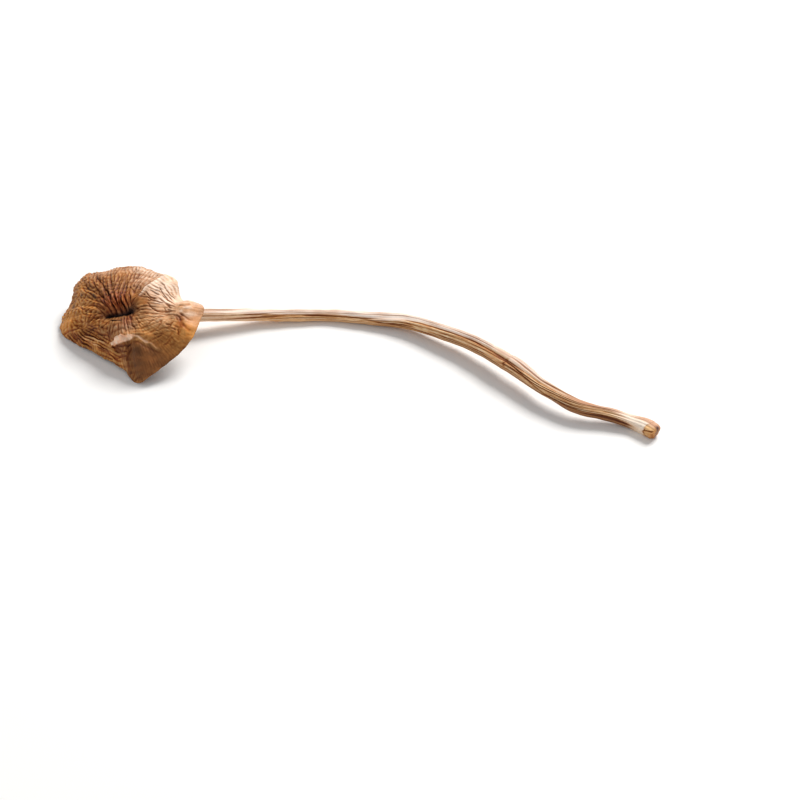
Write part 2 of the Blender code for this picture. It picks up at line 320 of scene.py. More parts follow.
# %% [markdown]
# Six sets of wrinkles cover the cap. Long pleats run out of the pit. To the right of it, others run to the
# pinch where the right lobe begins. Along the front left edge, folds follow the edge. Two leathery sets,
# one along and one across the pleats, break them up into a net, and hair-fine lines run over the smooth
# lobes.

# %% six sets of wrinkles
LOBE_PINCH = 15 - 0.6j  # X and Y as one number


def pit_to_pinch(x, y):
    """The way of a wrinkle that comes out of the pit and ends in the pinch."""
    onward = LOBE_PINCH - x - 1j * y
    away = np.exp(1j * out_of_pit(x, y)) / np.maximum(np.hypot(x, y), 1)
    return np.angle(2.2 * onward / (np.abs(onward) ** 2 + 0.01) + away)


def along_edge(x, y):
    """The way of a fold along the front left edge, which turns a little with the edge."""
    return np.radians(-52 + 22 * ramp(x, -14.5, -10))


def across_pleats(x, y):
    return out_of_pit(x, y) + 1.45


WRINKLE_SETS = {  # way and its wandering, wavelength and its wandering, rounds, seed and spread
    "pleats": (out_of_pit, ((0.4, 5, 1), (0.36, 1.9, 2)), 0.98, ((0.26, 3.5, 17),), 20, 11),
    "sector": (pit_to_pinch, ((0.4, 3, 3),), 0.9, ((0.22, 3, 19),), 24, 12),
    "edge": (along_edge, ((0.35, 4, 4),), 0.8, ((0.2, 3, 18),), 18, 13),
    "leather": (out_of_pit, ((1.8, 2.6, 5),), 0.95, (), 6, 14),
    "net": (across_pleats, ((1, 3, 10),), 1.6, (), 5, 16),
    "hair": (out_of_pit, ((0.3, 3, 6),), 0.62, (), 6, 15, 1.8),
}
fields = {name: wrinkle_field(*row) for name, row in WRINKLE_SETS.items()}
print("sets of wrinkles:", *fields)

# %% [markdown]
# Each set has its own place and depth on the cap, and swells and fades along its way. Some eighty folds and
# ridges lie over them, each drawn as a line of points, such as the dark lines between the teeth of the pit.
# The sums say how high the skin stands, and how deep in a fold or high on a crest each point lies, which the
# finish later uses for colour.

# %% fine relief of the skin
FOLD_ROWS = (  # depth (below 0 for a ridge), half width, then first X and Y and the steps to the next points
    (50, 42, 24, 14, 25, 28, 12, 27, 16, 33), (40, 23, 66, 51, -2, -12, -11, -9, -14, -14, -13, -4),
    (45, 18, 74, 56, 11, -7, 13, -9), (45, 17, 64, 56, 7, -13, 12, -8, 19, -7, 20, -17, 26, -10),
    (50, 18, 68, 38, 15, -11, 14, -6, 17, -7, 11, -8, 11, -8),
    (45, 17, 92, 77, 13, -25, 9, -14, 5, -9, 17, -15, 12, -7),
    (40, 15, 94, 87, 11, -12, 10, -16, 11, -15, 12, -12), (35, 15, 70, 43, 12, -11, 10, -4),
    (35, 15, 95, 60, 8, -12, 10, -15, 11, -11), (35, 15, 119, 41, 11, -13, 17, -18),
    (30, 17, 115, 1, 4, -8, 4, -7), (35, 15, 123, -4, 15, -5, 10, -1),
    (50, 21, 71, 19, 8, -14, 8, -10, 14, -6, 12, -2, 16, 2, 21, 1), (32, 21, 36, 12, 11, -13, 19, -7),
    (32, 18, 49, -14, 15, -4, 16, 0, 11, -3, 12, 2), (30, 18, 89, -33, 11, 5, 12, 1),
    (34, 18, 111, -30, 12, 6, 13, 4, 14, -2), (34, 19, 113, -33, -3, -8, 2, -6, -9, -9, -13, -10, -11, -7),
    (32, 19, 120, -47, 13, -3, 11, 10), (30, 21, 140, -19, 6, -8, 6, -10), (25, 20, 80, -48, 8, 7, 8, 5),
    (30, 20, 92, -67, 12, 4, 8, 5, 15, 0, 13, 10), (26, 20, 90, -79, 14, 8, 14, 6),
    (22, 20, 84, -88, 14, 3, 13, 12, 11, 6), (20, 20, 118, -89, 11, 9, 12, 9),
    (18, 20, 110, -102, 10, 6, 13, 12, 10, 5), (15, 20, 126, -101, 11, 4, 11, 10),
    (34, 21, 56, -61, 18, 9, 12, 10), (-22, 28, 34, -84, 12, 4, 10, -9, 14, -8, 10, -1, 12, -12, 16, -3),
    (18, 32, 34, -94, 18, -4, 17, -9, 14, -6, 13, -6, 10, -5), (35, 23, 153, -58, 2, -8, -4, -7),
    (30, 23, 145, -21, 8, -6, 6, -10), (20, 60, 153, -3, 5, -19, 2, -12, 0, -12, -8, -18),
    (30, 27, 156, -16, 12, -6, 16, -14), (25, 27, 152, 6, 14, -1, 16, 9),
    (20, 40, 162, -46, 10, -6, 10, -14), (38, 23, -128, -15, -16, -5, -21, 1, -21, 3, -17, 6),
    (40, 13, -168, -22, 8, -11, 13, -13), (36, 13, -183, -20, 11, -11, 13, -12),
    (40, 14, -154, -25, 10, -10, 14, -12, 12, -9), (48, 14, -137, -24, 11, -14, 12, -9, 16, -10, 19, -10),
    (56, 17, -146, -26, 11, -13, 12, -11, 26, -14, 26, -13, 18, -14, 15, -13),
    (46, 14, -160, -24, 9, -12, 13, -11, 11, -10, 23, -13),
    (54, 16, -121, -35, 16, -9, 13, -8, 19, -10, 21, -8),
    (-28, 30, -126, -46, 15, -9, 19, -12, 19, -12, 18, -12, 13, -10),
    (-26, 28, -119, -41, 19, -11, 22, -11, 25, -11), (40, 15, -142, -49, 14, -9, 16, -10, 16, -8),
    (50, 17, -89, -71, 19, -13, 22, -14, 20, -18), (40, 23, -32, -87, 11, -12, 22, -10, 17, -5),
    (35, 23, -44, -107, 20, -11, 20, 0, 20, -8), (30, 23, -61, -37, 15, 6, 10, 9),
    (28, 18, -105, -1, 17, -6, 24, -1), (24, 18, -107, -11, 12, -5, 10, 1, 13, -6),
    (24, 18, -99, -21, 13, -6, 14, -1, 11, -3), (24, 18, -118, -25, 16, -8, 15, -1, 17, -3),
    (34, 21, -134, -8, 10, -11, 1, -10, 13, -9, 16, -9), (28, 20, -83, -48, 11, 1, 13, -5, 13, -8),
    (30, 23, -40, -50, 5, -13, -3, -9), (30, 20, -156, -7, 18, -3, 10, -6),
    (24, 20, -162, 10, 20, -7, 14, -10), (34, 21, -125, 22, 19, -15, 21, -7, 18, -1),
    (30, 21, -136, 40, 18, -14, 17, -4, 15, -10), (30, 21, -110, 40, 22, -8, 20, -9, 8, -8),
    (34, 24, -113, 129, 18, -25, 14, -21, 14, -22, 13, -20, 8, -19),
    (36, 24, -109, 148, 23, -29, 21, -27, 11, -15, 15, -19, 15, -21),
    (40, 20, -52, 40, 13, -22, 7, -18, 3, -10), (55, 21, -42, 60, 17, -38, 6, -21, 3, -13),
    (60, 21, -22, 54, 11, -30, 7, -23, 3, -13), (60, 21, -9, 64, 12, -40, 6, -22, 3, -12),
    (50, 20, 6, 52, 7, -23, 6, -20, 3, -11), (35, 20, 20, 60, 4, -28, 6, -19),
    (80, 42, -62, 3, 15, -4, 13, -4, 12, 4, 13, -5, 12, 3, 12, -4, 11, 7, 10, -2),
    (50, 20, -33, -21, 11, -4, 10, -1, 19, -2), (40, 23, 20, -9, 12, -24, 8, -21, 4, -10),
    (30, 20, 16, -21, 5, -20, 5, -16), (20, 20, -4, -37, 3, -16, -4, -14), (25, 21, 45, -24, 9, -20, 6, -12),
    (20, 21, -29, -41, -1, -14, 0, -11), (-22, 36, -5, 157, 31, -11, 31, -18, 19, -16),
    (35, 24, -38, -89, 16, -5, 19, -1, 23, -1, 16, 6), (22, 50, 29, -96, -7, -16, -8, -16, -1, -19, -2, -17),
    (-18, 50, 152, 46, 20, -14, 24, -10),
)
DRAWN_FOLDS = [(-0.35, 0.42, BACK_RIDGE[1:])]
for depth, half_width, *steps in FOLD_ROWS:  # in 0.01 mm, and the steps in 0.1 mm
    corners = np.cumsum(np.reshape(steps, (-1, 2)), axis=0) / 10
    DRAWN_FOLDS.append((depth / 100, half_width / 100, corners))
EDGE_RIDGES = [corners for depth, _, corners in DRAWN_FOLDS if depth < 0 and corners[0][0] < -10]
FOLD_LIMIT = 0.3  # the depth at which a fold's colour is two thirds of the way to its darkest
BEND = 0.36  # how far a drawn line wanders


def bent(x, y):
    """Places that are shifted a little, so that lines drawn with few corners wander."""
    return x + BEND * noise_at(x, y, 1.8, 57), y + BEND * noise_at(x, y, 1.8, 58)


def places_round(x, y):
    """The distance from the middle of the pit, and functions for an arc and an oval of the cap."""
    angle = np.degrees(np.arctan2(y, x)) % 360
    return np.hypot(x, y), lambda *arc: between(angle, *arc), lambda *oval: patch(x, y, *oval)


def torn_scar(x, y):
    """1 on the pale flake of torn skin in front of the pit, with a ragged edge."""
    ragged_x = x + 0.5 * noise_at(x, y, 1.3, 61)
    ragged_y = y + 0.35 * noise_at(x, y, 1.3, 62)
    flake = patch(ragged_x, ragged_y, (0, -8.1), (3.9, 1), 4) + 0.14 * noise_at(x, y, 0.9, 63)
    return ramp(flake, 0.3, 0.54)


def fine_relief(x, y, reach):
    """The height of the fine wrinkles, and how deep in a fold or high on a crest each point lies, 0 to 1."""
    radius, arc, oval = places_round(x, y)
    pit = place_on_line(x, y, PIT_ENDS)[0]
    fan = arc(54, 146, 12)
    left = arc(140, 196, 14)
    sector = arc(-8, 50, 5) * ramp(radius, 3, 5.5)
    beside = arc(292, 356, 10) * ramp(radius, 2.5, 4.5) * (1 - ramp(radius, 12.5, 15.5))
    lip = arc(228, 296, 10) * (1 - ramp(radius, 5.5, 7.5))
    edge = arc(190, 266, 9) * ramp(reach, 0.42, 0.66)
    front_lobe = oval((5.2, -13.6), (3.4, 5), 8) + 0.9 * oval((10.9, -12.4), (5, 3.8), 38)
    right_lobe = oval((18.3, -2.4), (2.9, 8), 8)
    left_lobe = oval((-18.2, 0.6), (3.4, 3.2))
    smooth = np.clip(1.3 * front_lobe + 1.2 * right_lobe + 0.7 * left_lobe, 0, 1)
    teeth = oval((-1, 2.3), (3.8, 2.6)) * ramp(y, -0.2, 0.8)
    calm = (1 - 0.85 * smooth) * (1 - 0.7 * sector) * (1 - 0.8 * teeth)
    pleats = (0.06 + 0.19 * fan + 0.02 * left + 0.06 * lip) * (1 - 0.9 * sector) * (1 - 0.8 * edge)
    pleats *= (1 - 0.6 * beside) * (1 - 0.9 * smooth) * (1 - 0.8 * teeth)
    hair = (0.05 + 0.03 * fan) * (1 - 0.85 * smooth) + 0.04 * np.clip(front_lobe, 0, 1)
    sets = (  # name, share of thin lines, depth, and size and seed of its swelling
        ("pleats", 0.35, pleats, 2.2, 51),
        ("sector", 0.45, (0.21 * sector + 0.13 * beside) * (1 - 0.8 * smooth), 2, 52),
        ("edge", 0.45, 0.2 * edge * (1 - 0.6 * smooth), 2.6, 53),
        ("leather", 0.25, (0.15 + 0.08 * left) * (1 - 0.5 * beside) * (1 - 0.6 * edge) * calm, 1.6, 54),
        ("net", 0.35, (0.11 + 0.07 * left) * (1 - 0.5 * beside) * (1 - 0.7 * edge) * calm, 1.6, 55),
        ("hair", 0.2, hair, 2.4, 56),
    )
    height, low, full = np.zeros((3, *x.shape))
    for name, thin, depth, size, seed in sets:
        most = depth * np.clip(0.95 + 1.8 * noise_at(x, y, size, seed), 0.08, 2.1)
        valley, line = wrinkles(fields[name], x, y)
        height -= most * ((1 - thin) * valley + thin * line)
        low += most * (0.5 * valley + 0.32 * line)
        full += most
    # crest drives a painted highlight on the ridges in the finish, made stronger along the front left edge.
    crest = (full - 2.4 * low) / 0.45 * (1 + 1.8 * edge)
    scar = torn_scar(x, y)
    height *= 1 - 0.8 * scar
    height += 0.2 * scar * (0.9 + 1.6 * noise_at(x, y, 1.1, 64))
    low *= 1 - 0.8 * scar
    bent_x, bent_y = bent(x, y)
    width_share = 1 + 0.45 * noise_at(x, y, 1.5, 66)
    uneven = np.clip(0.9 + noise_at(x, y, 1.9, 67), 0.35, 1.3) * (1 - 0.8 * scar)
    for fold_depth, half_width, corners in DRAWN_FOLDS:
        away, place = place_on_line(bent_x, bent_y, corners)
        depth = fold_depth * uneven * ramp(place, 0, 0.16) * (1 - ramp(place, 0.84, 1))
        valley = bell(away / (half_width * width_share))
        shoulder = bell(away / (3.2 * half_width)) - valley
        height += depth * (0.32 * shoulder - 0.78 * valley) * (1 - 0.2 * beside)
        low += 0.72 * depth * valley
        crest += np.maximum(depth, 0) * shoulder - 2 * np.minimum(depth, 0) * valley
    height += 0.24 * noise_at(x, y, 2.8, 8) + 0.3 * noise_at(x, y, 6, 9)
    # low drives painted shade in the folds, stronger along the front left edge and weaker in the pale sector.
    low = np.maximum(low, 0) * (1 + 1.1 * edge) * (1 - np.maximum(0.45 * sector, 0.35 * beside))
    return (height + 0.1) * ramp(pit, -1.4, 0.6), 1 - np.exp(-low / FOLD_LIMIT), np.clip(crest, 0, 1)


print("drawn folds:", len(DRAWN_FOLDS))

# %% [markdown]
# The cap is a ball whose upper rings become the skin and whose lower rings become the flesh above the
# gills. Blender's ready-made ball takes long with this many faces, so a flat grid is rolled up to one and
# its seam is merged. Most rings are on top, where the wrinkles are. At the rim the wrinkles push the edge
# in and out, which gives it its knobbly, fluted outline.

# %% the cap
CAP_SEGMENTS = 700
TOP_RINGS, UNDER_RINGS = 114, 26


def points_of(mesh):
    points = np.empty(len(mesh.vertices) * 3)
    mesh.vertices.foreach_get("co", points)
    return points.reshape(-1, 3)


def edit_all(operator, **settings):
    """Runs an operator on the whole active mesh."""
    bpy.ops.object.mode_set(mode="EDIT")
    bpy.ops.mesh.select_all(action="SELECT")
    operator(**settings)
    bpy.ops.object.mode_set(mode="OBJECT")


def rolled_ball(name, segments, rings):
    """A flat grid rolled up to a ball, with its seam and poles merged, and each point's ring and turn."""
    bpy.ops.mesh.primitive_grid_add(x_subdivisions=segments, y_subdivisions=rings, size=1)
    ball = bpy.context.object
    ball.name = name
    u, v, _ = points_of(ball.data).T
    turn, down = 2 * np.pi * (u + 0.5), np.pi * (0.5 - v)
    rolled = np.stack([np.sin(down) * np.cos(turn), np.sin(down) * np.sin(turn), np.cos(down)], axis=-1)
    ball.data.vertices.foreach_set("co", rolled.ravel())
    edit_all(bpy.ops.mesh.remove_doubles, threshold=1e-5)
    x, y, z = points_of(ball.data).T
    return ball, np.round(np.arctan2(np.hypot(x, y), z) / np.pi * rings), np.degrees(np.arctan2(y, x))


def cap_surface(reach, angle_deg, below):
    """Points of the cap in its own frame, with their fold and crest. reach is 1 at the rim."""
    radius, lift = rim_at(angle_deg)
    radius = ROUND_RADIUS + (radius - ROUND_RADIUS) * ramp(reach, 0, 0.75)
    turn = np.radians(angle_deg)
    x, y = reach * radius * np.cos(turn), reach * radius * np.sin(turn)
    fine, fold, crest = fine_relief(x, y, reach)
    knobbly = 0.35 + 0.65 * between(angle_deg, 118, 162, 12) + 0.3 * between(angle_deg % 360, 192, 262, 8)
    flute = (fold - 0.4) * ramp(reach, 0.86, 1) * -0.5 * knobbly * (0.6 + noise_at(x, y, 4, 59))
    flute += 0.55 * knobbly * ramp(reach, 0.8, 1) * noise_at(x, y, 1.6, 60)
    x, y = x + flute * np.cos(turn), y + flute * np.sin(turn)
    dome = CAP_RISE * (1 - reach**DOME_POWER) + lift * reach**3
    bumps = main_relief(x, y, reach)
    flesh = FLESH_MIDDLE + (FLESH_EDGE - FLESH_MIDDLE) * ramp(reach, 0.05, 0.85)
    flesh *= np.sqrt(1 - reach**EDGE_POWER)
    pit = PIT_DEPTH * (1 - ramp(reach, 0.15, 0.45))
    top = dome + bumps + fine
    under = dome - flesh + bumps * CREASES_BELOW * ramp(reach, 0.2, 0.5) - pit
    under += fine * ramp(reach, 0.88, 1)
    return np.stack([x, y, np.where(below, under, top)], axis=-1), fold, crest


def placed(points):
    """Points of the cap's own frame in the mushroom's."""
    return points @ cap_axes + np.array(CAP_CENTRE)


def move_points(mesh, points):
    """Moves the points of a mesh, and presses it flat where it would pass the surface that it lies on."""
    points[:, 2] = np.maximum(points[:, 2], 0)
    mesh.vertices.foreach_set("co", (points * MM).ravel())
    mesh.update()


def keep_values(mesh, **values):
    """Stores numbers or vectors, one for each point of a mesh, for a finish to read."""
    for name, value in values.items():
        kind, field = ("FLOAT", "value") if np.ndim(value) == 1 else ("FLOAT_VECTOR", "vector")
        mesh.attributes.new(name, kind, "POINT").data.foreach_set(field, np.ravel(value).astype(np.float32))


cap, ring, turn_deg = rolled_ball("cap_skin_and_flesh", CAP_SEGMENTS, TOP_RINGS + UNDER_RINGS)
below = ring > TOP_RINGS
reach = np.where(below, (TOP_RINGS + UNDER_RINGS - ring) / UNDER_RINGS, ring / TOP_RINGS)
cap_points, fold, crest = cap_surface(reach, turn_deg, below)
move_points(cap.data, placed(cap_points))
bpy.ops.object.shade_smooth()
print("cap:", len(cap.data.polygons), "faces")

# %% [markdown]
# The skin is pale and pinkish towards the back right, ochre on the left lobe and at the thin edges, and
# almost black in the pit, partly its own colour and partly painted shade in the slit. The pale and ochre
# numbers also hold painted highlights: glare on the right lobe and light along the tops of ridges. Those
# places are stored as numbers on the mesh, each from 0 to 1, so that the finish can mix its colours by them
# and still follow every fold.

# %% where the cap's colours lie
DARK_KNOBS = (  # middle and size of the dark tops near the upper left rim
    ((-11.5, 9.5), 0.6), ((-8.9, 6.3), 0.6), ((-8.4, 5.6), 0.4), ((-13.6, 8), 0.45), ((-16.4, 5.6), 0.6),
)
SCAR_LIP = ((2.4, -7.4), (4, -7.2), (5.6, -8.4), (7.4, -9.4))
PIT_FLOOR = ((-4.4, -0.3), (-1, -0.5), (2.8, -0.3))
PIT_LIP_FOLD = ((-3.2, -2.2), (-1.2, -2.6), (0.6, -2.8))


def cap_values(x, y, reach, below):
    """The stored numbers by name, each 0 to 1 at each point."""
    radius, arc, oval = places_round(x, y)
    mottle = noise_at(x, y, 4, 21)
    bent_x, bent_y = bent(x, y)
    # ridge_highlight: painted highlight along the tops of the ridges at the front left edge.
    ridge_highlight = highest(*(streak(bent_x, bent_y, ridge, 0.3) for ridge in EDGE_RIDGES))
    # glare: painted highlight on the shoulder of the right lobe and along the top right rim.
    glare = oval((17.4, 0.4), (1.3, 0.7)) + oval((18.2, -1.5), (1.7, 0.8), 15)
    glare += oval((15.9, -0.9), (0.6, 0.5)) + 0.9 * arc(4, 13, 3) * ramp(reach, 0.93, 0.97)
    spots = ramp(noise_at(x, y, 1, 22), 0.36, 0.55) * arc(118, 166, 8)
    spots *= ramp(reach, 0.6, 0.95)
    on_skin = {
        "pale": highest(
            arc(5, 52, 8) * ramp(radius + 1.5 * mottle, 5.5, 12),
            0.3 * arc(-12, 14, 8) * ramp(radius + 2 * mottle, 5, 9),
            # painted highlight along the crest of the back ridge
            0.75 * streak(bent_x, bent_y, BACK_RIDGE[1:], 0.6),
            0.75 * arc(46, 92, 12) * ramp(reach, 0.74, 0.9),
            0.5 * arc(40, 78, 16) * ramp(reach, 0.4, 0.8),
            0.3 * arc(80, 132, 12) * ramp(reach, 0.7, 0.97),
            0.2 * oval((1, -5.2), (3.8, 1.8)),
            0.3 * oval((10.5, -2.5), (4.5, 3)),
            # painted highlights on the scar's lip and the ridge tops, and the painted glare
            0.34 * streak(bent_x, bent_y, SCAR_LIP, 0.28),
            0.16 * ridge_highlight,
            glare,
        ),
        "scar": torn_scar(x, y),
        "ochre": highest(
            arc(164, 188, 8) * ramp(radius, 11.5, 17),
            0.55 * arc(186, 262, 10) * ramp(reach, 0.5, 0.9),
            0.4 * arc(140, 200, 10) * ramp(radius, 5, 10),
            0.35 * arc(315, 350, 10) * ramp(radius + 2 * mottle, 5, 9),
            # painted highlight on the ridge tops, in ochre
            0.95 * ridge_highlight,
        ),
        "amber": arc(336, 374, 8) * ramp(radius + mottle, 14, 18),
        # pit: near-black, partly the pit's own colour and partly painted shade in its slit and the fold at
        # its lip.
        "pit": highest(
            streak(bent_x, bent_y, PIT_FLOOR, 0.8 + 0.3 * mottle),
            0.8 * streak(bent_x, bent_y, PIT_LIP_FOLD, 0.36),
            0.9 * oval((2.6, 0.1), (1.9, 1.3)),
            0.5 * oval((0.8, -1), (3.8, 1.5)),
        ),
        "dusky": oval((-1.2, 2.4), (4.8, 3.4), -20) + 0.6 * oval((2.2, -2.8), (1.6, 2.4)),
        "spots": highest(spots, *(oval(middle, (size, size)) for middle, size in DARK_KNOBS)),
        "brown": highest(
            oval((4.6, -14), (4.4, 5.6), 8) + oval((13.4, -11.6), (7, 5.8), 40),
            0.7 * oval((-3, 7.5), (9, 6.5)),
            0.4 * oval((2, -4.6), (5.5, 2.4)),
            0.8 * arc(196, 262, 6) * ramp(reach, 0.88, 0.97),
        ),
        "patches": 0.5 + 0.9 * mottle + 0.5 * noise_at(x, y, 1.6, 23),
    }
    values = {name: np.where(below, 0, np.clip(value, 0, 1)) for name, value in on_skin.items()}
    return values | {"under": ramp(below * (1.04 - reach), 0, 0.12)}


cap_x, cap_y, _ = cap_points.T
way_out = out_of_pit(cap_x, cap_y)
values = {
    "fold": np.where(below, 0.3, fold),
    "crest": np.where(below, 0, crest),
    "lines": np.stack([10 * np.cos(way_out), 10 * np.sin(way_out), 0.25 * np.hypot(cap_x, cap_y)], axis=-1),
    **cap_values(cap_x, cap_y, reach, below),
}
keep_values(cap.data, **values)
print("values on the cap:", *values)

# %% [markdown]
# A finish is a tree of nodes. These helpers add nodes to the tree at hand, to mix two colours or to read a
# stored number. Colours are given as a screen shows them, from 0 to 255.

# %% helpers for finishes
def paint(*screen):
    """A colour of the screen as linear light."""
    light = (c / 12.92 if c <= 0.04045 else ((c + 0.055) / 1.055) ** 2.4 for c in (v / 255 for v in screen))
    return (*light, 1)


def new_finish(name, roughness, shine):
    """A material, its tree, its shader and the place of each point of the piece."""
    material = bpy.data.materials.new(name)
    material.use_nodes = True
    tree = material.node_tree
    shader = tree.nodes["Principled BSDF"]
    shader.inputs["Roughness"].default_value = roughness
    shader.inputs["Specular IOR Level"].default_value = shine
    return material, tree, shader, tree.nodes.new("ShaderNodeTexCoord").outputs["Object"]


def add_node(kind, inputs=None, **settings):
    """One node in the tree at hand, with its settings, and with a link or a value for each input named."""
    node = tree.nodes.new("ShaderNode" + kind)
    for name, value in settings.items():
        setattr(node, name, value)
    for key, value in (inputs or {}).items():
        if isinstance(value, bpy.types.NodeSocket):
            tree.links.new(value, node.inputs[key])
        else:
            node.inputs[key].default_value = value
    return node


def stored(name, output="Fac"):
    return add_node("Attribute", attribute_name=name).outputs[output]


def sums(operation, first, second, clamp=False):
    return add_node("Math", {0: first, 1: second}, operation=operation, use_clamp=clamp).outputs[0]


def times(first, second, clamp=False):
    return sums("MULTIPLY", first, second, clamp)


def mixed(share, first, second, blend_type="MIX"):
    """Two colours, each a node's or the screen's, mixed by a share from 0 to 1."""
    first, second = (paint(*colour) if isinstance(colour, tuple) else colour for colour in (first, second))
    inputs = {0: share, 6: first, 7: second}
    return add_node("Mix", inputs, data_type="RGBA", blend_type=blend_type).outputs[2]


def spread_out(value, low, high, new_low=0, new_high=1):
    """A value's range stretched to another one."""
    inputs = {0: value, 1: low, 2: high, 3: new_low, 4: new_high}
    return add_node("MapRange", inputs, interpolation_type="SMOOTHSTEP").outputs[0]


def speckle(place, scale, detail, roughness=0.55):
    inputs = {"Vector": place, "Scale": scale, "Detail": detail, "Roughness": roughness}
    return add_node("TexNoise", inputs).outputs[0]


def layered(colour, *layers):
    """A colour with others laid over it one by one, each by its share."""
    for share, tint in layers:
        colour = mixed(share, colour, tint)
    return colour


def fold_shade_and_crest_highlight(colour, deepen, darken, highlight):
    """Painted shade and highlight: a colour that gets deeper, darker and redder down in the folds, and paler
    on the crests.
    """
    fold = stored("fold")
    power = sums("ADD", 1, sums("SUBTRACT", times(fold, deepen), times(stored("crest"), highlight)))
    deeper = add_node("Gamma", {"Color": colour, "Gamma": power}).outputs[0]
    shade = sums("SUBTRACT", 1, times(sums("POWER", fold, 1.6), darken))
    channels = {0: shade, 1: sums("POWER", shade, 1.35), 2: sums("POWER", shade, 1.6)}
    return mixed(1, deeper, add_node("CombineColor", channels).outputs[0], "MULTIPLY")


def dress(piece, finish, colour, height, strength, distance):
    """Gives a piece its finish, with a colour and a weak bump."""
    tree.links.new(colour, shader.inputs["Base Color"])
    bump = add_node("Bump", {"Strength": strength, "Distance": distance, "Height": height})
    tree.links.new(bump.outputs[0], shader.inputs["Normal"])
    piece.data.materials.clear()
    piece.data.materials.append(finish)
    print(finish.name, "has", len(tree.nodes), "nodes")


print("a mid brown in linear light:", [round(c, 3) for c in paint(170, 125, 85)])

# %% [markdown]
# The skin of the cap is leather that was never tanned: matt and a little waxy, with a painted highlight on
# the ridges and painted shade in every fold. Two kinds of mottling and the stored places give its browns. A
# weak bump of hair-fine lines is all that isn't modelled.

# %% finish of the cap
skin, tree, shader, place = new_finish("cap_leather", 0.5, 0.22)
grain = speckle(place, 1400, 4, 0.65)
blotches = times(sums("ADD", spread_out(speckle(place, 190, 4), 0.35, 0.65), stored("patches")), 0.5, True)
colour = layered(mixed(blotches, (158, 99, 46), (204, 141, 79)), *(
    (stored(name), mixed(blotches, dark, light)) for name, dark, light in (
        ("brown", (102, 60, 28), (144, 90, 46)),
        ("ochre", (204, 132, 56), (228, 160, 80)),
        ("amber", (168, 94, 28), (226, 156, 82)),
        ("dusky", (164, 82, 34), (164, 82, 34)),
        ("pale", (224, 184, 152), (244, 216, 194)),
    )
))
flake = spread_out(speckle(place, 520, 2), 0.3, 0.7)
colour = mixed(stored("scar"), colour, mixed(flake, (238, 170, 130), (255, 216, 184)))
# painted shade down in the folds and a painted highlight on the crests
colour = fold_shade_and_crest_highlight(colour, 0.8, 0.62, 0.28)
colour = layered(
    colour,
    # painted shade: near the pit the folds between the teeth go almost black
    (times(stored("dusky"), sums("POWER", stored("fold"), 1.3), True), (34, 16, 13)),
    (times(stored("spots"), 0.85), (56, 32, 20)),
    # partly the pit's own dark colour, partly painted shade in its slit and lip fold
    (stored("pit"), (26, 12, 12)),
    (stored("under"), mixed(blotches, (104, 64, 36), (142, 94, 56))),
)
soft = times(spread_out(speckle(place, 560, 3), 0.3, 0.7, 0.8, 1.16), spread_out(grain, 0.3, 0.7, 0.88, 1.08))
colour = mixed(1, colour, soft, "MULTIPLY")
matt = sums("SUBTRACT", spread_out(grain, 0.3, 0.7, 0.46, 0.62), times(stored("amber"), 0.1))
tree.links.new(matt, shader.inputs["Roughness"])
fine_lines = speckle(stored("lines", "Vector"), 3.2, 4, 0.6)
dress(cap, skin, colour, sums("ADD", fine_lines, times(grain, 0.6)), 0.4, 0.0001)
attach(cap, "root")
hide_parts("cap")

# %% [markdown]
# Below the cap hang the gills: thin plates that run from the stem to the rim, with shorter ones between
# them. Dried gills are brittle and wavy, and some lean against their neighbours. One plate is modelled, as
# a thin strip with its edges closed, and each gill is a copy of it that is bent to its own place.

# %% the gills
GILL_COUNT, GILL_STEPS = 66, 22
GILL_DEPTH, GILL_THICKNESS, GILL_INTO_FLESH = 1.35, 0.2, 0.3
SHORT_GILL_SEED, SHORT_GILL_DEPTH = 500, 0.8 * GILL_DEPTH
SMOOTH_UP_TO_DEG = 40
GILL_FROM, SHORT_GILLS_FROM, GILL_TO = 0.13, (0.52, 0.36), 0.975  # shares of the way from the pit to the rim

bpy.ops.mesh.primitive_grid_add(x_subdivisions=GILL_STEPS, y_subdivisions=2, size=1, location=(0.5, 0.5, 0))
plate = bpy.context.object
plate.name = "gill_plate"
bpy.ops.object.transform_apply(location=True)
wall = plate.modifiers.new("wall", "SOLIDIFY")
wall.thickness = 1
wall.offset = 0
bpy.ops.object.modifier_apply(modifier="wall")
plate_points = points_of(plate.data)


def bent_gill(number, angle_deg, inner, depth):
    """A copy of the plate, bent along the underside of the cap."""
    gill = bpy.data.objects.new("gill", plate.data.copy())
    bpy.context.collection.objects.link(gill)
    along, down, side = plate_points.T
    gill_reach = inner + (GILL_TO - inner) * along
    angle = angle_deg + 1.2 * noise_at(3 * along, number, 1, 31) * ramp(along, 0, 0.3)
    base, _, _ = cap_surface(gill_reach, angle, np.ones(len(along), bool))
    hang = depth * ramp(along, 0, 0.22) * (1 - ramp(along, 0.72, 1))
    hang = hang * (0.85 + 0.25 * noise_at(4 * along, number, 1, 32, 5)) + 0.08
    lean = 0.35 * noise_at(1.7 * along, number, 1, 33, 9)
    lean += 0.2 * noise_at(6 * along, number, 1, 34, 2)
    turn = np.radians(angle)
    sideways = side * GILL_THICKNESS * (1 - 0.5 * down) + lean * down**1.5 * (hang > 0.3)
    base[:, 0] -= np.sin(turn) * sideways
    base[:, 1] += np.cos(turn) * sideways
    base[:, 2] += GILL_INTO_FLESH - down * (hang + GILL_INTO_FLESH)
    move_points(gill.data, placed(base))
    keep_values(gill.data, edge=down)
    return gill


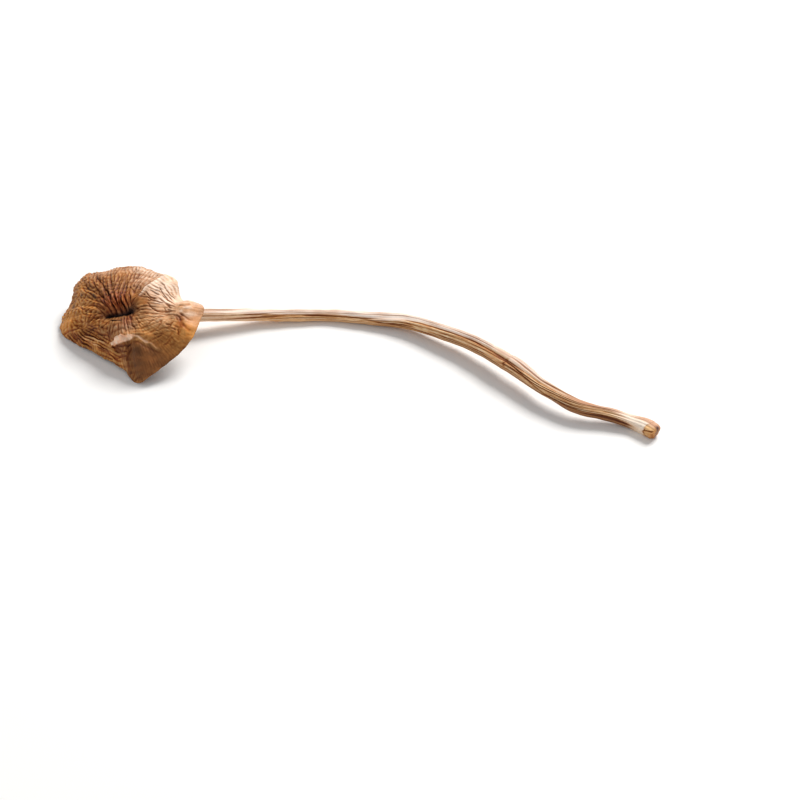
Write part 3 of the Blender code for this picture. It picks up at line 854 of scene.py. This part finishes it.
gills = []
for number in range(GILL_COUNT):
    angle = 360 / GILL_COUNT * number
    gills.append(bent_gill(number, angle, GILL_FROM, GILL_DEPTH))
    middle = angle + 180 / GILL_COUNT
    inner = SHORT_GILLS_FROM[number % 2] + 0.06 * math.sin(5 * number)
    gills.append(bent_gill(number + SHORT_GILL_SEED, middle, inner, SHORT_GILL_DEPTH))
bpy.data.objects.remove(plate)
bpy.ops.object.select_all(action="DESELECT")
for gill in gills:
    gill.select_set(True)
bpy.context.view_layer.objects.active = gills[0]
bpy.ops.object.join()
gills = bpy.context.object
gills.name = "gills"
edit_all(bpy.ops.mesh.normals_make_consistent, inside=False)
bpy.ops.object.shade_smooth_by_angle(angle=math.radians(SMOOTH_UP_TO_DEG))
print("gills:", 2 * GILL_COUNT, "with", len(gills.data.polygons), "faces")

# %% [markdown]
# Gills take their colour from the spores, a dull cinnamon brown, and are lighter at their torn lower edge.

# %% finish of the gills
gill_skin, tree, shader, place = new_finish("gill_paper", 0.72, 0.25)
grain = speckle(place, 900, 4, 0.6)
colour = mixed(spread_out(grain, 0.35, 0.65), (92, 54, 30), (134, 86, 50))
colour = mixed(sums("POWER", stored("edge"), 3), colour, (166, 118, 74))
dress(gills, gill_skin, colour, grain, 0.4, 0.0001)
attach(gills, "root")
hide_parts("cap")

# %% [markdown]
# The stem follows the same middle line as the CAD solid. It leaves the flesh below the pit, bends sharply
# under the cap and then runs in two slow curves to the root end. The line is read at even steps, and a
# frame is carried along it without turning, so that the furrows only twist as much as they are told to.

# %% the stem's middle line
STEM_NECK = ((-0.9, 2.5), (0, 2.1), (1.3, 1.75), (2.6, 1.6))  # depth below the flesh, and radius
STEM_ROUTE = (
    (-56.4, 13.45, 4.3, 1.6), (-52.2, 14.35, 4.2, 1.6), (-47.1, 14.85, 4.5, 1.65), (-41.2, 15.25, 4.6, 1.7),
    (-30.8, 16.75, 3.4, 1.65), (-20, 17.95, 2.2, 1.6), (-8.9, 18.65, 1.6, 1.6), (-2.3, 18.25, 1.65, 1.65),
    (7.8, 16.45, 2.1, 1.75), (14.9, 14.55, 2.8, 1.85), (21.6, 11.15, 3.4, 1.95), (32.4, 4.25, 4.4, 2.05),
    (41.4, -3.75, 4.8, 2.1), (45.5, -7.85, 4.7, 2.05), (50.5, -12.95, 4.4, 1.75), (58.2, -18.35, 3.7, 1.65),
    (67.1, -20.55, 2.6, 1.55), (72.1, -22.15, 1.9, 1.6), (75.5, -23.85, 1.8, 1.9), (77.4, -25.45, 1.85, 2),
    (78.5, -26.45, 1.85, 1.6),
)
STEM_RINGS, STEM_SIDES = 580, 160
SHORT_STEP, SHORT_AT_NECK, SHORT_AT_ROOT = 0.35, 14, 30  # the rings lie closer near the two round ends
JOINT_GAP = 0.3  # between the flesh and the top of the stem, as in the CAD model

top = CAP_RISE - PIT_DEPTH - FLESH_MIDDLE - JOINT_GAP  # of the stem, in the cap's own frame
neck = [(*(CAP_CENTRE + (top - depth) * cap_up), radius) for depth, radius in STEM_NECK]
knots = np.array([*neck, *STEM_ROUTE])
knots = np.vstack([2 * knots[0] - knots[1], knots, 2 * knots[-1] - knots[-2]])
shares = np.arange(0, 1, 0.05)
line = [catmull_rom(*knots[i : i + 4], share) for i in range(len(knots) - 3) for share in shares]
line = np.array([*line, knots[-2]])
walked = np.concatenate([[0], np.cumsum(np.linalg.norm(np.diff(line[:, :3], axis=0), axis=1))])
steps = np.ones(STEM_RINGS)
steps[:SHORT_AT_NECK] = steps[-SHORT_AT_ROOT:] = SHORT_STEP
stops = np.concatenate([[0], np.cumsum(steps)]) / steps.sum() * walked[-1]
middle = np.stack([np.interp(stops, walked, line[:, k]) for k in range(4)], axis=-1)
tangent = np.gradient(middle[:, :3], stops, axis=0)
tangent /= np.linalg.norm(tangent, axis=1)[:, None]
side = np.cross(tangent[0], (0, 1, 0))
sides = []
for direction in tangent:
    side = side - direction * (side @ direction)
    side /= np.linalg.norm(side)
    sides.append(side)
sides = np.array(sides)
others = np.cross(sides, tangent)
print("the stem is", round(walked[-1], 1), "mm long, in", STEM_RINGS, "steps")

# %% [markdown]
# A dried stem collapses between its fibres. A few deep furrows part it into cords, finer ones run between
# them, and all of them twist slowly. Noise that is squeezed round the stem and drawn out along it gives the
# cords: where it passes zero, there is a furrow. The finer furrows are a wave that is counted round the stem,
# and two long creases are drawn. Towards the root end they all fade into a pale, smooth knob.

# %% the stem
FURROWS = ((2, 1.9, 0.04), (3, 0.9, 0.06), (5, 2.6, 0.05), (9, 0.4, 0.03))  # how many, phase and depth
STEM_TWIST_DEG = 150
STRANDS = 17
LONG_CREASES = (  # X along the stem, and degrees round it, where 0 faces front and up
    ((-32, 0), (-24, -2), (-19, -4), (-8, -2), (2, -14), (11, -52), (19, -62), (27, -72)),
    ((29, 30), (35, 24), (43, 14), (47, -6), (51, -36), (58, -36), (66, -32), (73, -26)),
)
CREASE_HALF_DEG = 6.5
CREAM_ABOVE = (  # the skin is paler above this line: partly bleached, partly painted light on its upper side
    (-45, 2), (-8, -2), (2, -8), (9, -20), (13, -8), (19, 22), (30, 25), (36, 36), (66, 40), (72, 10),
    (76, -40),
)

stem, ring, turn_deg = rolled_ball("stem_stalk", STEM_SIDES, STEM_RINGS)
ring = ring.astype(int)
along = stops[ring]
to_end = walked[-1] - along
stem_x = middle[ring, 0]
fibres = np.radians(turn_deg)
round_x, round_y = np.cos(fibres), np.sin(fibres)


def round_noise(angle, density, length, seed):
    """Noise round the stem, with bumps that are drawn out along it."""
    return noise_at(density * np.cos(angle), density * np.sin(angle), 1, seed, along / length)


turn = fibres + math.radians(STEM_TWIST_DEG) * along / walked[-1] + 0.5 * noise_at(along, 0, 22, 41)
turn += 0.16 * round_noise(fibres, 1.2, 24, 43)
turn += 0.07 * round_noise(fibres, 3, 9, 44)
outward = np.cos(turn)[:, None] * sides[ring] + np.sin(turn)[:, None] * others[ring]
seen_deg = np.degrees(np.arctan2(outward @ (0, 0.7, 0.7), outward @ (0, -0.7, 0.7)))

shape = 1 + sum(share * np.cos(count * fibres + phase) for count, phase, share in FURROWS)
shape -= 0.16 * np.cos(np.radians(np.clip((seen_deg - 43) * 2.1, -90, 90))) ** 2 * ramp(along, 3, 8)
front_low = 1 - ramp(seen_deg, -45, 5)
root = ramp(-to_end, -15 + 6 * front_low, -7 + 2.4 * front_low)
cords = np.clip(np.abs(round_noise(fibres, 1.5, 42, 68)) / 0.2, 0, 1) ** 0.7
uneven_turn = fibres + 0.11 * np.sin(3 * fibres + 1) + 0.07 * np.sin(5 * fibres + 2.2)
strand = np.abs(np.cos(STRANDS / 2 * uneven_turn))
uneven = np.clip(0.95 + 1.6 * round_noise(fibres, 2.2, 8, 47), 0.1, 1.7)
furrowed = (1 - 0.8 * root) * ramp(along, 0.3, 3) * (1 - 0.5 * between(seen_deg, -125, -52, 15))
long_crease = np.zeros(len(along))
for path in LONG_CREASES:
    path_x, path_deg = zip(*path)
    found = bell((seen_deg - np.interp(stem_x, path_x, path_deg)) / CREASE_HALF_DEG)
    found *= ramp(stem_x, path_x[0], path_x[1]) * (1 - ramp(stem_x, path_x[-2], path_x[-1]))
    found *= np.clip(0.85 + 0.9 * noise_at(stem_x, 0, 6, 39), 0.3, 1.2)
    long_crease = np.maximum(long_crease, found)
# cream is partly the bleached top of the stem and partly painted light on its upper side.
cream = ramp(seen_deg - np.interp(stem_x, *zip(*CREAM_ABOVE)), -4, 18) * (1 - ramp(seen_deg, 85, 125))
cream *= 1 - 0.65 * ramp(stem_x, 48, 53) * (1 - ramp(stem_x, 62, 67))
cream = np.maximum(cream, 0.4 * (1 - ramp(stem_x, -34, -20)))
lined = (0.18 * (1 - cords) + uneven * (0.18 * (1 - strand) + 0.2 * (1 - strand**0.4))) * furrowed
depth = lined * (1 - 0.3 * cream) + 0.3 * long_crease
lumps = 0.12 * round_noise(turn, 1, 3.5, 45)
lumps += 0.10 * round_noise(turn, 1.7, 7, 46)
print("furrowed rings:", len(stops), "with", STEM_SIDES, "points each")

# %% [markdown]
# Three things break the stem's even run. Some two thirds of the way to the root there is a small crack, and
# beyond it the skin has lifted into a pale sleeve. The root end begins with a crease, darkened with painted
# shade, and there blunt blocks of torn root lie over each other with a gap between them, which gets painted
# shade too.

# %% crack, sleeve and root end
CRACK_AT, CRACK_HALF_WIDTH = 41.3, 0.24  # the place of the crack, as its X
TORN_LENGTH = 3.1  # of the blocks at the root end
BLOCK_SIZE, BLOCK_SEED = 4, 3.3
ROUND_LENGTH = 0.5  # of the round edges of the two ends

crack_at = CRACK_AT + 0.4 * noise_at(np.cos(turn), np.sin(turn), 0.4, 49)
crack = bell((stem_x - crack_at) / CRACK_HALF_WIDTH) * between(seen_deg, -30, 34, 12)
sleeve = ramp(stem_x, CRACK_AT, CRACK_AT + 0.5) * (1 - ramp(stem_x, 43.5, 49))
sleeve *= between(seen_deg, 22, 125, 12)
torn_from = TORN_LENGTH - 0.7 * ramp(seen_deg, 0, 60) * (seen_deg < 140)
torn_from += 0.5 * noise_at(round_x, round_y, 0.5, 38)
torn = ramp(torn_from - to_end, -0.15, 0.15)
places = np.stack([stem_x, 1.3 * np.cos(turn), 1.3 * np.sin(turn)], axis=-1)[torn > 0]
near = np.array([noise.voronoi(place)[0][:2] for place in (places / BLOCK_SIZE + BLOCK_SEED).tolist()])
blocks = np.ones(len(along))  # 0 in the gaps between the blocks and 1 inside them
blocks[torn > 0] = np.clip((near[:, 1] - near[:, 0]) / 0.3, 0, 1) ** 0.6
split_deg = 10 - 14 * to_end + 5 * noise_at(along, 0, 1.1, 48)
split = bell((seen_deg - split_deg) / 6) * torn * ramp(to_end, 0.2, 0.8)
collar = bell((to_end - torn_from) / 0.28) * between(seen_deg, -80, -8, 12)
knob = bell((to_end - 4.6) / 1.6)
tan = 0.3 * ramp(stem_x, 37, 41) + 0.7 * ramp(stem_x, 53, 58)
tan *= ramp(seen_deg, 30, 50) * (1 - 0.6 * between(stem_x, 69.5, 73, 2))
tan *= 1 - 0.5 * ramp(seen_deg, 120, 160)
# Painted shade: dim darkens the stem towards the root end, most of all on its lower side there.
dim = (0.7 * ramp(stem_x, -30, 40) + 0.3 * ramp(stem_x, 44, 54)) * (1 - root)
dark_end = np.exp(-(((to_end - 0.3) / 0.5) ** 2) - ((seen_deg - 62) / 20) ** 2)

radius = middle[ring, 3] * shape - depth + lumps + 0.14 - 0.22 * crack + 0.28 * sleeve
radius += torn * (0.3 * blocks - 0.45) - 0.55 * split - 0.22 * collar + 0.06 * knob
tip = (1 - np.clip(1 - to_end / ROUND_LENGTH, 0, 1) ** 4) ** 0.25
top_end = np.sqrt(1 - np.clip(1 - along / ROUND_LENGTH, 0, 1) ** 2)
points = middle[ring, :3] + (radius * tip * top_end)[:, None] * outward
move_points(stem.data, points)
bpy.ops.object.shade_smooth()
# Painted shade and highlight: stem_fold darkens the furrows, the long creases, the crack, the split, the
# collar and the gaps between the blocks, and stem_crest lightens the ridges.
stem_fold = (0.5 * (1 - cords) ** 1.5 + 1.6 * (1 - strand**0.5) * uneven) * furrowed
stem_fold = (stem_fold + crack + 0.85 * long_crease) * (1 - 0.42 * cream)
stem_crest = strand**2 * uneven * furrowed * (1 - stem_fold)
stem_fold += 1.2 * split + collar + 0.5 * torn * (1 - blocks)
keep_values(
    stem.data,
    fold=np.clip(stem_fold, 0, 1),
    crest=np.clip(stem_crest, 0, 1),
    upward=outward[:, 2],
    dim=dim * (0.25 + 0.75 * (1 - ramp(seen_deg, -60, -25))),
    cream=np.clip(cream + 0.5 * sleeve, 0, 1),
    root=root * (1 - torn) * (0.7 + 0.3 * ramp(seen_deg, -40, 10)),
    tan=tan,
    lump=torn * (1 - 0.85 * ramp(seen_deg, 15, 60) * ramp(to_end, 0.4, 1.4)),
    dark_end=dark_end,
    fibre=np.stack([1.6 * round_x, 1.6 * round_y, along / 14], axis=-1),
)
print("stem:", len(stem.data.polygons), "faces")

# %% [markdown]
# The stalk is cream and light brown, like weathered straw, with painted shade down in its furrows and a
# painted highlight along its ridges. It is paler on top, partly bleached and partly painted light, and
# orange-brown below, partly its colour and partly painted light that lifts the shaded underside. Towards the
# root end it darkens with painted shade.

# %% finish of the stem
stalk, tree, shader, place = new_finish("stem_fibre", 0.6, 0.3)
fibre = stored("fibre", "Vector")
mottle = speckle(place, 160, 3)
underside_tint_and_light = spread_out(stored("upward"), -0.5, 0.45, 1, 0)
colour = layered(
    mixed(spread_out(speckle(fibre, 6, 4, 0.6), 0.36, 0.64), (218, 162, 108), (255, 222, 176)),
    # orange below: partly the underside's colour, partly painted light that lifts its shade
    (times(underside_tint_and_light, 0.5), (255, 206, 150)),
    # painted shade towards the root end
    (times(stored("dim"), 0.9), (140, 88, 46)),
    # cream: partly bleached skin, partly painted light on the upper side
    (times(stored("cream"), 0.9), (252, 233, 220)),
    (times(spread_out(mottle, 0.42, 0.7), 0.3), (204, 146, 94)),
    (times(stored("root"), 0.95), (255, 238, 220)),
    (stored("lump"), mixed(spread_out(mottle, 0.4, 0.6), (184, 124, 74), (232, 184, 128))),
    (times(stored("tan"), 0.9), (194, 144, 110)),
)
# painted shade in the furrows and a painted highlight on the ridges
colour = fold_shade_and_crest_highlight(colour, 1, 0.55, 0.32)
colour = mixed(stored("dark_end"), colour, (62, 38, 44))
dress(stem, stalk, colour, speckle(fibre, 22, 3, 0.6), 0.6, 0.00012)
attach(stem, "root")
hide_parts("stem")
